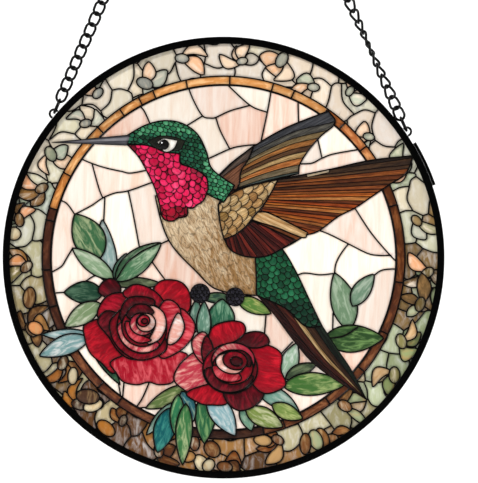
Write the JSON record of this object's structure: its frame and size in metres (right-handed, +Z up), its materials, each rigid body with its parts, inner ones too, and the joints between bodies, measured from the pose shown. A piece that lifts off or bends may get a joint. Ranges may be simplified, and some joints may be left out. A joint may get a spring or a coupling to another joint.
{
  "type": "stained glass suncatcher",
  "caption": "Round leaded glass panel in a black metal rim, hung from a ring by two legs of twisted chain. It shows a hovering bird over two roses, inside a border of pale stones.",
  "frame": {"origin": "inside the top of the hanging ring, where it lies on its hook", "axes": "+Z up, the panel stands in the XZ plane, its front faces -Y and +X is to the right as seen from the front"},
  "size_m": [0.2, 0.006, 0.3518],
  "materials": {
    "rim_black": "satin black",
    "chain_black": "satin black",
    "came_black": "dark patina",
    "glass_background": "streaky opalescent",
    "glass_border": "mottled opalescent",
    "glass_band": "streaky amber",
    "glass_rose": "streaky red",
    "glass_leaf": "streaky green",
    "glass_gorget": "rippled magenta red",
    "glass_bird_green": "rippled dark green",
    "glass_breast": "textured tan",
    "glass_feather": "streaky brown",
    "glass_beak": "smooth grey"
  },
  "bodies": {
    "root": {"band_glass_1": "glass_band", "band_glass_2": "glass_band", "band_glass_3": "glass_band", "band_glass_4": "glass_band", "band_glass_5": "glass_band", "band_glass_6": "glass_band", "band_glass_7": "glass_band", "band_glass_8": "glass_band", "beak": "glass_beak", "border_glass_1": "glass_border", "border_glass_2": "glass_border", "border_glass_3": "glass_border", "border_glass_4": "glass_border", "border_glass_5": "glass_border", "breast": "glass_breast", "came_net": "came_black", "chain_left": "chain_black", "chain_right": "chain_black", "coverts": "glass_feather", "eye": "glass_background", "far_wing": "glass_feather", "field_glass_1": "glass_background", "field_glass_2": "glass_background", "field_glass_3": "glass_background", "field_glass_4": "glass_background", "field_glass_5": "glass_background", "field_glass_6": "glass_background", "field_glass_7": "glass_background", "field_glass_8": "glass_background", "field_glass_9": "glass_background", "gorget": "glass_gorget", "head": "glass_bird_green", "leaf_left_dark": "glass_leaf", "leaf_left_pale": "glass_leaf", "leaf_lower_left": "glass_leaf", "leaf_right_broad": "glass_leaf", "leaf_under_foot": "glass_leaf", "leaf_upper_right": "glass_leaf", "leaves_between_roses": "glass_leaf", "leaves_by_tail": "glass_leaf", "leaves_lower_left": "glass_leaf", "leaves_lower_middle": "glass_leaf", "leaves_lower_right": "glass_leaf", "leaves_right": "glass_leaf", "leaves_upper_left": "glass_leaf", "left_eye": "chain_black", "left_foot": "glass_beak", "left_rose": "glass_rose", "near_wing": "glass_feather", "pale_feather": "glass_feather", "right_eye": "chain_black", "right_foot": "glass_beak", "right_rose": "glass_rose", "rim_frame": "rim_black", "rim_joint_sleeve": "rim_black", "rump": "glass_bird_green", "secondaries": "glass_feather", "tail": "glass_feather", "top_ring": "chain_black", "wrist": "glass_feather"}
  },
  "joints": []
}
